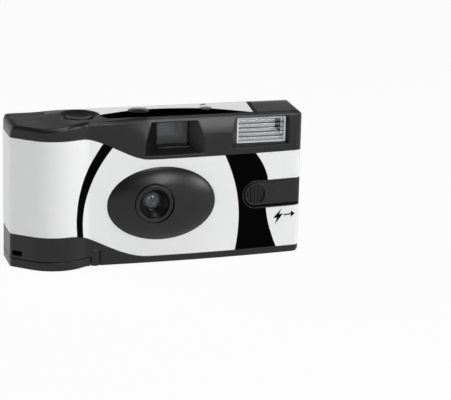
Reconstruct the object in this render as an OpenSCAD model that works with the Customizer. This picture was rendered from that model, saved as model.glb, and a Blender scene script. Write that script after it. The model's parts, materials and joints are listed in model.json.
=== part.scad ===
// Single-use 35 mm flash camera: two snap-together covers, a moulded chassis,
// a preloaded film cassette, a one-blade shutter and a battery flash.
// Drawn with the flat of the front at y = 0 and then shifted so that the
// origin is at the middle of the base. +Z is up and the lens looks along -Y.

/* [Body] */
// Width from end to end
body_w = 117; // [116:0.5:122]
// Height of the main top face
body_h = 58; // [57.5:0.5:62]
// Depth from the flat of the front to the back
body_d = 26; // [25.8:0.1:28]
// Wall of both covers
wall = 1.5; // [1.3:0.1:1.6]
// Where the two covers meet, behind the front
part_y = 17.5; // [16.5:0.5:18]
// Radius of the upright rear corners
corner_r = 6; // [4:0.5:6.5]
// Radius of the rear top edge
back_top_r = 5.5; // [3:0.5:6]
// Radius of the rear bottom edge
base_r = 3; // [2:0.5:3.5]
// How far the upper front band rolls back
roll_d = 3.6; // [2.8:0.1:4]
// Radius of the front top edge
edge_r = 1.6; // [1.2:0.1:1.7]
// How much lower the top is over the grip
grip_drop = 1.2; // [0.6:0.1:1.5]
// Radius of the slow sweep of the front
sweep_r = 560; // [450:10:900]

/* [Labels] */
// Upper edge of the front label over the grip
label_top_left = 52; // [50:0.5:53]
// Upper edge of the front label under the flash
label_top_right = 42; // [41.5:0.1:42.5]
// Lower edge of the front label over the grip
label_base_left = 13.5; // [12:0.5:15]
// Lower edge of the front label under the flash
label_base_right = 2.7; // [2:0.1:4]
// Thickness of the printed labels
label_t = 0.25; // [0.2:0.05:0.35]

/* [Lens] */
// Distance of the lens axis left of the middle
lens_off = 3.1; // [2.5:0.1:4]
// Width of the oval surround
dome_w = 43.4; // [41:0.2:44]
// Height of the oval surround
dome_h = 29.4; // [28:0.2:31]
// How far the oval surround stands out
dome_out = 4.4; // [3.8:0.1:4.8]
// Radius of the lens retaining ring
ring_r = 7.7; // [7.2:0.1:8.2]
// Clear radius of the lens
lens_r = 3.7; // [3.2:0.1:3.9]

/* [Film] */
// Radius of the film cassette
cass_r = 12.4; // [12:0.1:12.5]
// Height of the film cassette
cass_h = 46; // [45.5:0.1:46.4]
// Height of the film
film_h = 35; // [34.6:0.1:35]
// Radius of the film wound on the supply spool
roll_r = 8.3; // [7:0.1:8.4]
// Width of one picture
gate_w = 36; // [34:0.5:36]
// Height of one picture
gate_h = 24; // [22:0.5:24]

/* [Controls] */
// Radius of the advance wheel
wheel_r = 14.6; // [14.2:0.1:14.8]
// How far the advance wheel stands out at the back
wheel_out = 0.9; // [0.6:0.1:1.2]
// Thickness of the advance wheel
wheel_t = 4; // [3.4:0.1:4.2]
// Radius of the shutter button
button_r = 5.3; // [4.4:0.1:5.4]
// Travel of the shutter button
button_travel = 1.2; // [0.8:0.1:1.4]
// Travel of the flash slider
slide_travel = 4; // [3:0.5:5]
// Height of the flash slider channel
channel_h = 10.6; // [10.2:0.2:12.4]
// Height of the film door
door_h = 3.4; // [3:0.1:3.8]

/* [Electrics] */
// Radius of the battery
cell_r = 5.25; // [5:0.05:5.25]
// Length of the battery without its button
cell_l = 43.5; // [42:0.5:44]
// Radius of the flash capacitor
cap_r = 6.5; // [5:0.1:6.8]
// Height of the flash capacitor
cap_h = 28; // [22:1:31]

/* [Clearances] */
// Gap between a moving piece and what is round it
run_gap = 0.3; // [0.25:0.05:0.35]
// Radial play of a shaft in its hole
shaft_play = 0.06; // [0.04:0.01:0.1]
// Gap that lets pieces of the fixed body go together
fit_gap = 0.1; // [0.05:0.05:0.15]

/* [Hidden] */
$fn = 40;
half_w = body_w / 2;
// The wheel stands out at the back, and the cassette and the grip follow its axis
axis_x = -half_w + 18;
axis_y = body_d + wheel_out - wheel_r;
grip_r = wheel_r + run_gap + wall + 0.1;
front_y = min(axis_y - grip_r, -dome_out);
origin_y = (front_y + body_d + wheel_out) / 2;
// The cassette stands on the door, and the film, lens and gate follow it
door_t = wall;
cass_z = door_t + 0.5;
cass_top = cass_z + cass_h;
film_z = cass_z + cass_h / 2;
film_y = body_d - wall - 3.3;
film_t = 0.2;
lens_x = -lens_off;
lens_z = film_z;
gate_x0 = lens_x - gate_w / 2;
gate_x1 = lens_x + gate_w / 2;
top_in = body_h - wall;

// Front outline: the grip arc with its flank and nose, the hollow, the sweep
flank_a = 40;
flank_x = axis_x - grip_r * sin(flank_a);
flank_y = axis_y - grip_r * cos(flank_a);
nose_r = 2.5;
nose_x = -half_w + nose_r;
nose_y = flank_y + (nose_r - (nose_x - flank_x) * sin(flank_a)) / cos(flank_a);
nose_end = nose_x - nose_r * sin(flank_a);
hollow_r = 5;
hollow_x = axis_x + sqrt(pow(grip_r + hollow_r, 2) - pow(axis_y + hollow_r, 2));
hollow_start = axis_x + (hollow_x - axis_x) * grip_r / (grip_r + hollow_r);
sweep_x = -5;
end_r = 3;
end_x = half_w - end_r;

function clamp01(t) = min(1, max(0, t));
function ease(t) = let (c = clamp01(t)) c * c * (3 - 2 * c);
function bow(r, d) = sqrt(max(0, r * r - d * d));
function sweep(x) = pow(max(0, x - sweep_x), 2) / (2 * sweep_r);
end_y = sweep(end_x) + end_r;
function plan_y(x) =
    x < nose_end ? nose_y - bow(nose_r, x - nose_x) :
    x < flank_x ? flank_y + (flank_x - x) * tan(flank_a) :
    x < hollow_start ? axis_y - bow(grip_r, x - axis_x) :
    x < hollow_x ? bow(hollow_r, x - hollow_x) - hollow_r :
    x < end_x ? sweep(x) : end_y - bow(end_r, x - end_x);
function slope(x) = (plan_y(x + 0.01) - plan_y(x - 0.01)) / 0.02;
function arc(cx, cy, r, a0, a1, n) =
    [for (k = [0:n]) let (a = a0 + (a1 - a0) * k / n) [cx + r * cos(a), cy + r * sin(a)]];

// Stations along the width, closer together where the outline bends
front_xs = concat(
    [for (k = [1:3]) -half_w + (nose_end + half_w) * pow(k / 3, 2)],
    [flank_x],
    [for (k = [1:14]) flank_x + (hollow_start - flank_x) * k / 14],
    [for (k = [1:6]) hollow_start + (hollow_x - hollow_start) * k / 6],
    [for (k = [1:8]) hollow_x + (end_x - hollow_x) * k / 8],
    [for (k = [1:4]) end_x + end_r * sin(18 * k)]
);
// Outline seen from above, moved in by w along its normals
function inset(x, w) =
    let (s = slope(x), l = sqrt(1 + s * s)) [x - w * s / l, plan_y(x) + w / l];
function plan(w) = concat(
    [[-half_w + w, nose_y]],
    [for (x = front_xs) inset(x, w)],
    [[half_w - w, end_y]],
    arc(half_w - corner_r, body_d - corner_r, corner_r - w, 0, 90, 5),
    arc(-half_w + corner_r, body_d - corner_r, corner_r - w, 90, 180, 5)
);
// Top face, which dips over the grip, and the edges of the front label
dip_x0 = axis_x - 7;
dip_x1 = axis_x + 7.5;
function top_z(x) = body_h - grip_drop * (1 - ease((x - dip_x0) / (dip_x1 - dip_x0)));
wave_x0 = axis_x + 4.5;
wave_x1 = lens_x - 1;
function wave(x, p) = ease(pow(clamp01((x - wave_x0) / (wave_x1 - wave_x0)), p));
function label_top(x) = label_top_left + (label_top_right - label_top_left) * wave(x, 1.2);
function label_base(x) = label_base_left + (label_base_right - label_base_left) * wave(x, 0.85);
wave_xs = [for (k = [0:12]) wave_x0 + (wave_x1 - wave_x0) * k / 12];

// Bars along one axis, given by their ends
module bar(x0, x1, y0, y1, z0, z1) {
    translate([x0, y0, z0]) cube([x1 - x0, y1 - y0, z1 - z0]);
}
module pin_z(x, y, z0, z1, r) {
    translate([x, y, z0]) cylinder(h = z1 - z0, r = r);
}
module pin_y(x, y0, y1, z, r, r_back = -1) {
    translate([x, y0, z]) rotate([-90, 0, 0])
        cylinder(h = y1 - y0, r1 = r, r2 = r_back < 0 ? r : r_back);
}
module pin_x(x0, x1, y, z, r) {
    translate([x0, y, z]) rotate([0, 90, 0]) cylinder(h = x1 - x0, r = r);
}
// Straight prisms of a side outline (y, z) and of a front outline (x, z)
module side_prism(points, x0, x1) {
    translate([x0, 0, 0]) rotate([90, 0, 90]) linear_extrude(x1 - x0) polygon(points);
}
module front_prism(points, y0, y1) {
    translate([0, y1, 0]) rotate([90, 0, 0]) linear_extrude(y1 - y0) polygon(points);
}
// Tapered rectangular block between two frames [x0, x1, z0, z1] at y0 and y1
module taper(a, y0, b, y1) {
    polyhedron(
        [
            [a[0], y0, a[2]], [a[1], y0, a[2]], [a[1], y0, a[3]], [a[0], y0, a[3]],
            [b[0], y1, b[2]], [b[1], y1, b[2]], [b[1], y1, b[3]], [b[0], y1, b[3]]
        ],
        [[0, 3, 2, 1], [4, 5, 6, 7], [0, 1, 5, 4], [3, 7, 6, 2], [0, 4, 7, 3], [1, 2, 6, 5]]
    );
}
module placed() {
    translate([0, -origin_y, 0]) children();
}

far = 80;
side_top_r = 2.8;
side_base_r = 2.5;
// The plan raised to a solid whose top edge is rounded over along the top face
module rounded_plan() {
    turns = [0, 27, 53, 78];
    rims = [for (a = turns) plan(edge_r * (1 - cos(a)))];
    n = len(rims[0]);
    last = len(turns) - 1;
    points = concat(
        [for (p = rims[0]) [p[0], p[1], 0]],
        [for (k = [0:last]) for (p = rims[k]) [p[0], p[1], top_z(p[0]) - edge_r * (1 - sin(turns[k]))]],
        [for (p = rims[last]) [p[0], p[1], body_h + 1]]
    );
    function at(k, i) = k * n + i % n;
    polyhedron(points, concat(
        [[for (i = [0:n - 1]) i]],
        [for (k = [0, last + 1]) for (i = [0:n - 1]) [at(k, i + 1), at(k, i), at(k + 1, i), at(k + 1, i + 1)]],
        [for (k = [1:last]) for (i = [0:n - 1]) [at(k, i + 1), at(k, i), at(k + 1, i)]],
        [for (k = [1:last]) for (i = [0:n - 1]) [at(k, i + 1), at(k + 1, i), at(k + 1, i + 1)]],
        [[for (i = [n - 1:-1:0]) at(last + 2, i)]]
    ));
}
// The whole housing as one block, moved in by w, with its front top edge rounded if soft
module block(w, soft = false) {
    difference() {
        intersection() {
            if (soft) rounded_plan();
            else translate([0, 0, w]) linear_extrude(body_h - 2 * w) polygon(plan(w));
            side_prism(concat(
                [[-far, w]],
                arc(body_d - base_r, base_r, base_r - w, -90, 0, 4),
                arc(body_d - back_top_r, body_h - back_top_r, back_top_r - w, 0, 90, 6),
                [[-far, body_h - w]]
            ), -far, far);
            front_prism(concat(
                [[-half_w + w, w]],
                arc(half_w - side_base_r, side_base_r, side_base_r - w, -90, 0, 4),
                arc(half_w - side_top_r, body_h - side_top_r, side_top_r - w, 0, 90, 5),
                [for (k = [8:-1:0]) let (x = dip_x0 + (dip_x1 - dip_x0) * k / 8) [x, top_z(x) - w]],
                arc(-half_w + side_top_r, top_z(-half_w) - side_top_r, side_top_r - w, 90, 180, 5)
            ), -far, far);
        }
        roll_cut(w);
    }
}
// What the rolled upper band and its ramp towards the grip take off the front
ramp_a = 14;
ramp_x = lens_x - 2;
roll_z0 = label_top_right;
module roll_profile(w) {
    steps = 8;
    lean = atan(2 * roll_d / (body_h - roll_z0));
    end_z = body_h - edge_r * (1 - sin(lean));
    back_y = w + roll_d + edge_r * cos(lean);
    side_prism(concat(
        [[-far, roll_z0], [w, roll_z0]],
        [for (k = [1:steps]) let (t = k / steps) [w + roll_d * t * t, roll_z0 + (end_z - roll_z0) * t]],
        [for (k = [1:3]) let (a = lean + (78 - lean) * k / 3)
            [back_y - edge_r * cos(a), body_h - edge_r * (1 - sin(a))]],
        [[back_y - edge_r * cos(78), far], [-far, far]]
    ), 0, 2 * far);
}
module roll_cut(w) {
    turn_y = w + roll_d + 2;
    translate([ramp_x, 0, 0]) roll_profile(w);
    translate([ramp_x, turn_y, 0]) mirror([1, 0, 0]) rotate([0, 0, -ramp_a]) translate([0, -turn_y, 0])
        roll_profile(w);
}

// Printed labels
label_proud = 0.06;
label_back = part_y - 0.6;
module label_zone(grow) {
    front_prism(concat(
        [[-far, label_base_left - grow]],
        [for (x = wave_xs) [x, label_base(x) - grow]],
        [[far, label_base_right - grow], [far, label_top_right + grow]],
        [for (k = [12:-1:0]) [wave_xs[k], label_top(wave_xs[k]) + grow]],
        [[-far, label_top_left + grow]]
    ), -far, label_back + grow);
}
dome_x = 0.5;
dome_z = lens_z - 0.9;
function oval(a, b) = [for (k = [0:47]) [dome_x + a * cos(7.5 * k), dome_z + b * sin(7.5 * k)]];
module label_pocket() {
    difference() {
        label_zone(0);
        linear_extrude(far) polygon(plan(label_t));
        front_prism(oval(dome_w / 2 + 0.15, dome_h / 2 + 0.15), -far, part_y);
        channel_shape(channel_h / 2 + channel_lip, -far, part_y);
    }
}
module front_label() {
    color("#eceded") placed() intersection() {
        label_pocket();
        linear_extrude(far) polygon(plan(-label_proud));
    }
}
top_label_t = 0.2;
tl_left = axis_x + 18.5;
tl_right = half_w - 18.5;
tl_front = roll_d + 1.6;
tl_back = body_d - back_top_r + 0.3;
module top_label_zone(z0, z1) {
    difference() {
        translate([0, 0, z0]) linear_extrude(z1 - z0) polygon(concat(
            [[tl_left + 2, tl_front], [tl_right, tl_front], [tl_right + 1.4, tl_back]],
            [for (k = [0:6])
                [tl_left - 9 + 9 * sin(15 * k), tl_front + 4 + (tl_back - tl_front - 4) * cos(15 * k)]]
        ));
        pin_z(counter_x, counter_y, z0 - 1, z1 + 1, counter_r + 0.5);
        pin_z(lamp_x, lamp_y, z0 - 1, z1 + 1, lamp_r + 0.4);
        pin_z(button_x, button_y, z0 - 1, z1 + 1, dish_r + 0.4);
    }
}
module top_label() {
    color("#ecedee") placed() top_label_zone(body_h - top_label_t, body_h + label_proud);
}

// Places of what shows on the top and the front
button_x = axis_x + 10.2;
button_y = 12.2;
dish_r = button_r + 2.7;
dish_d = 0.9;
counter_x = lens_x - 2.5;
counter_y = 15.3;
counter_r = 3.7;
lamp_x = half_w - 37.3;
lamp_y = 14;
lamp_r = 2.1;
finder_x = 6;
finder_z = body_h - 7.6;
finder_w = 12.8;
finder_h = 9.4;
finder_y = 6;
flash_x = half_w - 16.8;
flash_z = body_h - 7.3;
flash_w = 20;
flash_h = 10.4;
flash_y = roll_d + 0.9;
// The flash slider and its channel, open at the right-hand end
channel_z = lens_z;
dish_x = half_w - 19.1;
plate_t = 1.6;
plate_drop = 0.85;
disc_r = 4.6;
channel_wall = 1.2;
channel_lip = 0.4;
lip_out = 0.25;
floor_d = plate_t + 0.15 + run_gap;
module channel_shape(r, y0, y1) {
    pin_y(dish_x, y0, y1, channel_z, r);
    bar(dish_x, far, y0, y1, channel_z - r, channel_z + r);
}
function band_pts(x0, x1, d0, d1) = concat(
    [for (k = [0:8]) let (x = x0 + (x1 - x0) * k / 8) [x, d0 < -5 ? d0 : plan_y(x) + d0]],
    [for (k = [8:-1:0]) let (x = x0 + (x1 - x0) * k / 8) [x, sweep(x) + d1]]
);
stem_x = dish_x + 5.5;
stem_w = 3.4;
stem_h = 3;
module channel_cut() {
    intersection() {
        channel_shape(channel_h / 2, -far, part_y);
        linear_extrude(far) polygon(band_pts(dish_x - 8, half_w + 3, -6, floor_d));
    }
    bar(stem_x - run_gap, stem_x + stem_w + slide_travel + run_gap, 0, part_y - 4,
        channel_z - stem_h / 2 - run_gap, channel_z + stem_h / 2 + run_gap);
}
module channel_back() {
    intersection() {
        block(0);
        channel_shape(channel_h / 2 + channel_wall, -far, part_y);
        linear_extrude(far) polygon(band_pts(dish_x - 9, half_w + 3, -6, floor_d + channel_wall));
    }
    intersection() {
        channel_shape(channel_h / 2 + channel_lip, -far, part_y);
        linear_extrude(far) polygon(band_pts(dish_x - 9, half_w - wall, -lip_out, 1));
    }
}

// Film door at the foot of the cassette chamber, hinged at its inner end
hinge_r = 0.8;
hinge_x = axis_x + cass_r + 1.7;
hinge_z = hinge_r;
hinge_y0 = 4;
hinge_y1 = body_d - 4.5;
door_seam = 0.35;
door_edge = hinge_x - hinge_r - 0.2;
door_x = door_edge - door_seam;
slot_z0 = door_h + 1.4;
module door_space() {
    bar(-far, door_edge, -far, far, -1, door_h + run_gap);
}
module door_hinge_cut() {
    pin_y(hinge_x, hinge_y0 - run_gap, hinge_y1 + run_gap, hinge_z, hinge_r + run_gap);
    bar(door_edge - 0.5, hinge_x, hinge_y0 - run_gap, hinge_y1 + run_gap, -1, hinge_z + hinge_r + run_gap);
    bar(hinge_x - 0.6, hinge_x + hinge_r + run_gap, hinge_y0 - run_gap, hinge_y1 + run_gap, -1, hinge_z);
}
pin_r = 0.45;
module door_pin_hole() {
    pin_y(hinge_x, hinge_y0 - 1.6, hinge_y1 + 1.6, hinge_z, pin_r + 0.02);
}

// Front cover: moulded face, top and ends
module dome() {
    rings = 5;
    n = 44;
    function share(k) = sin(90 * min(k, rings) / rings);
    function level(k) = k > rings ? 0.9 : -dome_out * pow(1 - pow(share(k), 2.5), 0.75);
    points = concat(
        [[dome_x, -dome_out, dome_z]],
        [for (k = [1:rings + 1]) for (i = [0:n - 1]) [
            dome_x + dome_w / 2 * share(k) * cos(360 * i / n),
            level(k),
            dome_z + dome_h / 2 * share(k) * sin(360 * i / n)
        ]],
        [[dome_x, 0.9, dome_z]]
    );
    last = 1 + (rings + 1) * n;
    faces = concat(
        [for (i = [0:n - 1]) [0, 1 + (i + 1) % n, 1 + i]],
        [for (k = [0:rings - 1]) for (i = [0:n - 1])
            [1 + k * n + i, 1 + k * n + (i + 1) % n, 1 + (k + 1) * n + i]],
        [for (k = [0:rings - 1]) for (i = [0:n - 1])
            [1 + k * n + (i + 1) % n, 1 + (k + 1) * n + (i + 1) % n, 1 + (k + 1) * n + i]],
        [for (i = [0:n - 1]) [last, last - n + i, last - n + (i + 1) % n]]
    );
    polyhedron(points, faces);
}
finder_in = [
    finder_x - finder_w / 2, finder_x + finder_w / 2, finder_z - finder_h / 2, finder_z + finder_h / 2
];
flash_in = [flash_x - flash_w / 2, flash_x + flash_w / 2, flash_z - flash_h / 2, flash_z + flash_h / 2];
function flared(f, s) = [f[0] - s, f[1] + s, f[2] - 0.42 * s, f[3] + 0.3 * s];
module recess(f, depth, slope_out) {
    taper(flared(f, slope_out * (depth + 2) / depth), -2, f, depth);
}
module recess_wall(f, depth, slope_out) {
    intersection() {
        block(0);
        taper(
            flared([f[0] - wall, f[1] + wall, f[2] - wall, f[3] + 0.6], slope_out * (depth + 2) / depth), -2,
            [f[0] - wall, f[1] + wall, f[2] - wall, f[3] + 0.6], depth + 1
        );
    }
}
step_x = hinge_x + 2.2;
module top_cuts() {
    pin_z(button_x, button_y, top_in - 1, far, button_r + run_gap);
    rim_r = button_r + run_gap + 0.3;
    translate([button_x, button_y, body_h - dish_d])
        cylinder(h = 2 * dish_d, r1 = rim_r, r2 = 2 * dish_r - rim_r);
    pin_z(counter_x, counter_y, top_in - 1, far, counter_r - 0.6);
    pin_z(counter_x, counter_y, body_h - 0.8, far, counter_r + fit_gap);
    pin_z(lamp_x, lamp_y, top_in - 1, far, lamp_r + fit_gap);
}
module front_cover() {
    color("#26272a") placed() difference() {
        union() {
            difference() {
                intersection() {
                    block(0, true);
                    bar(-far, far, -far, part_y, -1, far);
                }
                block(wall);
            }
            dome();
            channel_back();
            recess_wall(finder_in, finder_y, 6);
            recess_wall(flash_in, flash_y, 3.6);
            bar(door_edge, hinge_x + 3, 1, hinge_y0 - run_gap, 0, 2.4);
            pin_z(step_x - 1.6, 1.3, 0, label_base_right + 3.6, 1.7);
        }
        label_pocket();
        top_label_zone(body_h - top_label_t, far);
        recess(finder_in, finder_y, 6);
        bar(finder_in[0], finder_in[1], finder_y - 1, finder_y + 3, finder_in[2], finder_in[3]);
        recess(flash_in, flash_y, 3.6);
        bar(flash_in[0], flash_in[1], flash_y - 1, flash_y + 3, flash_in[2], flash_in[3]);
        pin_y(lens_x, -far, 3, lens_z, ring_r + 0.2);
        channel_cut();
        top_cuts();
        door_space();
        door_hinge_cut();
        door_pin_hole();
        bar(-half_w + 0.8, -half_w + 4.2, nose_y - 6, nose_y, slot_z0, slot_z0 + 2);
        bar(step_x, step_x + 0.5, -1, 0.6, -1, label_base_right + 3.4);
    }
}

// Rear cover with the eyepiece window, the wheel slot and the film ribs
wheel_z = cass_top + 0.7;
slot_w = 2 * bow(wheel_r + 0.6, body_d - wall - axis_y) + 2;
eye_w = 9.6;
eye_h = 7.4;
eye_y = body_d - wall - 0.12;
eye_z = finder_z - 1.4;
module rear_cover() {
    color("#2b2c2f") placed() difference() {
        union() {
            difference() {
                intersection() {
                    block(0);
                    bar(-far, far, part_y, far, -1, far);
                }
                block(wall);
            }
            for (s = [-1, 1]) bar(gate_x0 + 2, gate_x1 - 2, film_y + film_t + 0.2, body_d - wall / 2,
                film_z + s * 15.5 - 0.6, film_z + s * 15.5 + 0.6);
            bar(door_edge, hinge_x + 3, hinge_y1 + run_gap, body_d - base_r, 0, 2.4);
        }
        top_label_zone(body_h - top_label_t, far);
        top_cuts();
        bar(axis_x - slot_w / 2, axis_x + slot_w / 2, part_y + 2, far,
            wheel_z - run_gap, wheel_z + wheel_t + run_gap);
        taper(
            [axis_x - slot_w / 2, axis_x + slot_w / 2, wheel_z - run_gap, wheel_z + wheel_t + run_gap],
            body_d - wall + 0.2,
            [axis_x - slot_w / 2 - 1.5, axis_x + slot_w / 2 + 1.5, wheel_z - 2.6, wheel_z + wheel_t + 1.4],
            body_d + 0.5
        );
        pin_z(axis_x, axis_y, cass_z - 0.4, cass_top + 0.6, cass_r + 0.35);
        taper(
            [finder_x - eye_w / 2, finder_x + eye_w / 2, eye_z - eye_h / 2, eye_z + eye_h / 2],
            body_d - wall - 1,
            [finder_x - eye_w / 2 - 0.9, finder_x + eye_w / 2 + 0.9,
                eye_z - eye_h / 2 - 0.9, eye_z + eye_h / 2 + 0.9],
            body_d + 0.6
        );
        door_space();
        door_hinge_cut();
        door_pin_hole();
    }
}
module film_door() {
    color("#232427") placed() difference() {
        union() {
            difference() {
                intersection() {
                    block(0);
                    bar(-far, door_x, -far, far, -1, door_h);
                }
                block(wall);
            }
            pin_y(hinge_x, hinge_y0, hinge_y1, hinge_z, hinge_r);
            bar(door_x - 1, hinge_x, hinge_y0, hinge_y1, 0, hinge_z + hinge_r);
            bar(-half_w + 2.6, -half_w + 3.5, nose_y + 0.5, nose_y + 5, door_t - 0.5, slot_z0 + 2.4);
        }
        pin_y(hinge_x, hinge_y0 - 1, hinge_y1 + 1, hinge_z, pin_r + shaft_play);
        pin_z(axis_x, axis_y, door_t, far, cass_r + 0.35);
    }
}
module door_pin() {
    color("#b9bcc0") placed() pin_y(hinge_x, hinge_y0 - 1.5, hinge_y1 + 1.5, hinge_z, pin_r);
}

// Controls
button_top = body_h - 0.2;
button_t = 2.2;
flange_top = top_in - 0.55;
flange_t = 0.7;
foot_x = axis_x + wheel_r + 1.2;
lever_arm = 5.5;
lever_x = foot_x + lever_arm;
lever_y = 5.8;
lever_z = cass_top + 1;
lever_t = 1.2;
lever_w = 3;
module shutter_button() {
    arm_z = flange_top - flange_t;
    arm_y = lever_y - lever_w / 2;
    color("#2a2b2e") placed() {
        difference() {
            union() {
                pin_z(button_x, button_y, button_top - button_t, button_top, button_r);
                pin_z(button_x, button_y, arm_z, flange_top, button_r + 0.7);
            }
            translate([button_x, button_y, button_top + 19.3]) sphere(r = 20, $fn = 120);
        }
        bar(button_x - 1.5, button_x + 1.5, arm_y, button_y, arm_z, flange_top);
        bar(button_x - 1.5, foot_x + 0.8, arm_y, arm_y + lever_w, arm_z, flange_top);
        bar(foot_x - 0.8, foot_x + 0.8, arm_y, arm_y + lever_w, lever_z + lever_t / 2 + 0.45, flange_top);
    }
}
lever_pin_r = 1;
module release_lever() {
    color("#d8d9d4") placed() difference() {
        union() {
            pin_y(lever_x, lever_y - lever_w / 2, lever_y + lever_w / 2, lever_z, 2);
            bar(lever_x - lever_arm - 1, lever_x + 4, lever_y - lever_w / 2, lever_y + lever_w / 2,
                lever_z - lever_t / 2, lever_z + lever_t / 2);
        }
        pin_y(lever_x, lever_y - 2, lever_y + 2, lever_z, lever_pin_r + shaft_play);
    }
}
module lever_pin() {
    color("#b9bcc0") placed() pin_y(lever_x, lever_y - 3.4, lever_y + 3.4, lever_z, lever_pin_r);
}
knurl_n = 64;
key_w = 1.8;
hub_r = 4;
module advance_wheel() {
    color("#3a3b3f") placed() translate([axis_x, axis_y, wheel_z]) {
        difference() {
            linear_extrude(wheel_t) polygon([for (k = [0:2 * knurl_n - 1])
                let (a = 180 * k / knurl_n, r = wheel_r - (k % 2 == 0 ? 0 : 0.5)) [r * cos(a), r * sin(a)]]);
            translate([0, 0, -1]) cylinder(r = spool_r + 0.5, h = spool_up - 0.7 + 1 + run_gap);
            translate([0, 0, wheel_t - 0.8]) difference() {
                cylinder(r = wheel_r - 2.2, h = 2);
                translate([0, 0, -1]) cylinder(r = hub_r, h = 4);
            }
        }
        translate([-key_w / 2, -hub_r + 1, -0.7 - 2.4]) cube([key_w, 2 * hub_r - 2, 2.4 + 0.7 + wheel_t - 1]);
    }
}
module flash_slider() {
    plate_h = channel_h - 2 * run_gap;
    foot_y = sweep(half_w) + floor_d + channel_wall + 0.4;
    color("#27282b") placed() {
        difference() {
            intersection() {
                channel_shape(plate_h / 2, -far, part_y);
                linear_extrude(far) polygon(band_pts(dish_x - 7, half_w - 0.3, 0.15, plate_t + 0.15));
            }
            difference() {
                linear_extrude(far) polygon(band_pts(dish_x - 8, half_w + 3, -6, plate_drop));
                pin_y(dish_x, -far, far, channel_z, disc_r);
            }
            difference() {
                pin_y(dish_x, -far, sweep(dish_x) + 1.25, channel_z, disc_r - 0.7);
                for (k = [-2:2]) let (reach = bow(disc_r - 0.9, 1.5 * k))
                    bar(dish_x + 1.5 * k - 0.3, dish_x + 1.5 * k + 0.3, sweep(dish_x) + 0.75, 4,
                        channel_z - reach, channel_z + reach);
            }
        }
        bar(stem_x, stem_x + stem_w, sweep(stem_x) + plate_t - 0.6, foot_y + 1,
            channel_z - stem_h / 2, channel_z + stem_h / 2);
        bar(stem_x - 0.8, stem_x + stem_w + 0.8, foot_y, foot_y + 1,
            channel_z - stem_h / 2 - 1.6, channel_z + stem_h / 2 + 1.6);
    }
}

// Lens and shutter, all round the lens axis
base_y = 3.4;
base_t = 1;
barrel_r = 6;
lens_y = -0.4;
blade_y = base_y + base_t + 0.3;
blade_t = 0.5;
pivot_x = lens_x + 8.5;
pivot_z = lens_z + 6.5;
pivot_r = 0.9;
tunnel_y = blade_y + blade_t + 0.5;
module around_lens(y) {
    translate([lens_x, y, lens_z]) rotate([-90, 0, 0]) children();
}
module lens_ring() {
    ring_face = -dome_out + 0.5;
    color("#303135") placed() around_lens(0) rotate_extrude() polygon([
        [lens_r + 0.1, lens_y - 0.2], [lens_r + 2, ring_face + 1.2], [ring_r - 1.6, ring_face],
        [ring_r - 0.3, ring_face], [ring_r, ring_face + 0.3], [ring_r, base_y - 1.3],
        [barrel_r + 0.1, base_y - 1.3], [barrel_r + 0.1, lens_y + 0.3], [lens_r + 0.1, lens_y + 0.3]
    ]);
}
module taking_lens() {
    color("#9fb4c4") placed() around_lens(lens_y + 0.4) rotate_extrude() polygon(concat(
        [[0, 2.1], [lens_r - 0.6, 2.2], [lens_r + 0.8, 2.2], [lens_r + 0.8, 0.9], [lens_r, 0.9]],
        [for (k = [4:-1:0]) let (r = lens_r * k / 4) [r, 0.9 * pow(k / 4, 2) - 0.6 + 0.6 * pow(k / 4, 2)]]
    ));
}
module aperture_plate() {
    color("#17181a") placed() around_lens(lens_y + 2.7) difference() {
        cylinder(r = lens_r + 0.8, h = 0.3);
        translate([0, 0, -1]) cylinder(r = 1.5, h = 3);
    }
}
module shutter_base() {
    color("#202124") placed() difference() {
        union() {
            bar(lens_x - 11, lens_x + 12, base_y, base_y + base_t, lens_z - 9, lens_z + 12);
            pin_y(lens_x, lens_y + 0.5, base_y + 0.1, lens_z, barrel_r);
            pin_y(pivot_x, base_y, tunnel_y, pivot_z, pivot_r);
        }
        pin_y(lens_x, lens_y, lens_y + 3, lens_z, lens_r + 0.8 + fit_gap);
        pin_y(lens_x, 0, far, lens_z, 2);
    }
}
module shutter_blade() {
    color("#8f9296") placed() difference() {
        union() {
            pin_y(lens_x, blade_y, blade_y + blade_t, lens_z, 3.4);
            pin_y(pivot_x, blade_y, blade_y + blade_t, pivot_z, 2.2);
            translate([pivot_x, blade_y, pivot_z])
                rotate([0, -atan2(lens_z - pivot_z, lens_x - pivot_x), 0])
                translate([0, 0, -1.6]) cube([8, blade_t, 3.2]);
        }
        pin_y(pivot_x, blade_y - 1, blade_y + 1, pivot_z, pivot_r + shaft_play);
    }
}
module blade_spring() {
    foot_z = pivot_z - 10.4;
    color("#c3c6ca") placed() {
        bar(pivot_x + 2.6, pivot_x + 3, base_y + base_t, base_y + base_t + 0.9, foot_z, pivot_z - 2.4);
        bar(pivot_x - 1, pivot_x + 3, base_y + base_t, base_y + base_t + 0.9, foot_z, foot_z + 0.4);
    }
}

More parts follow.
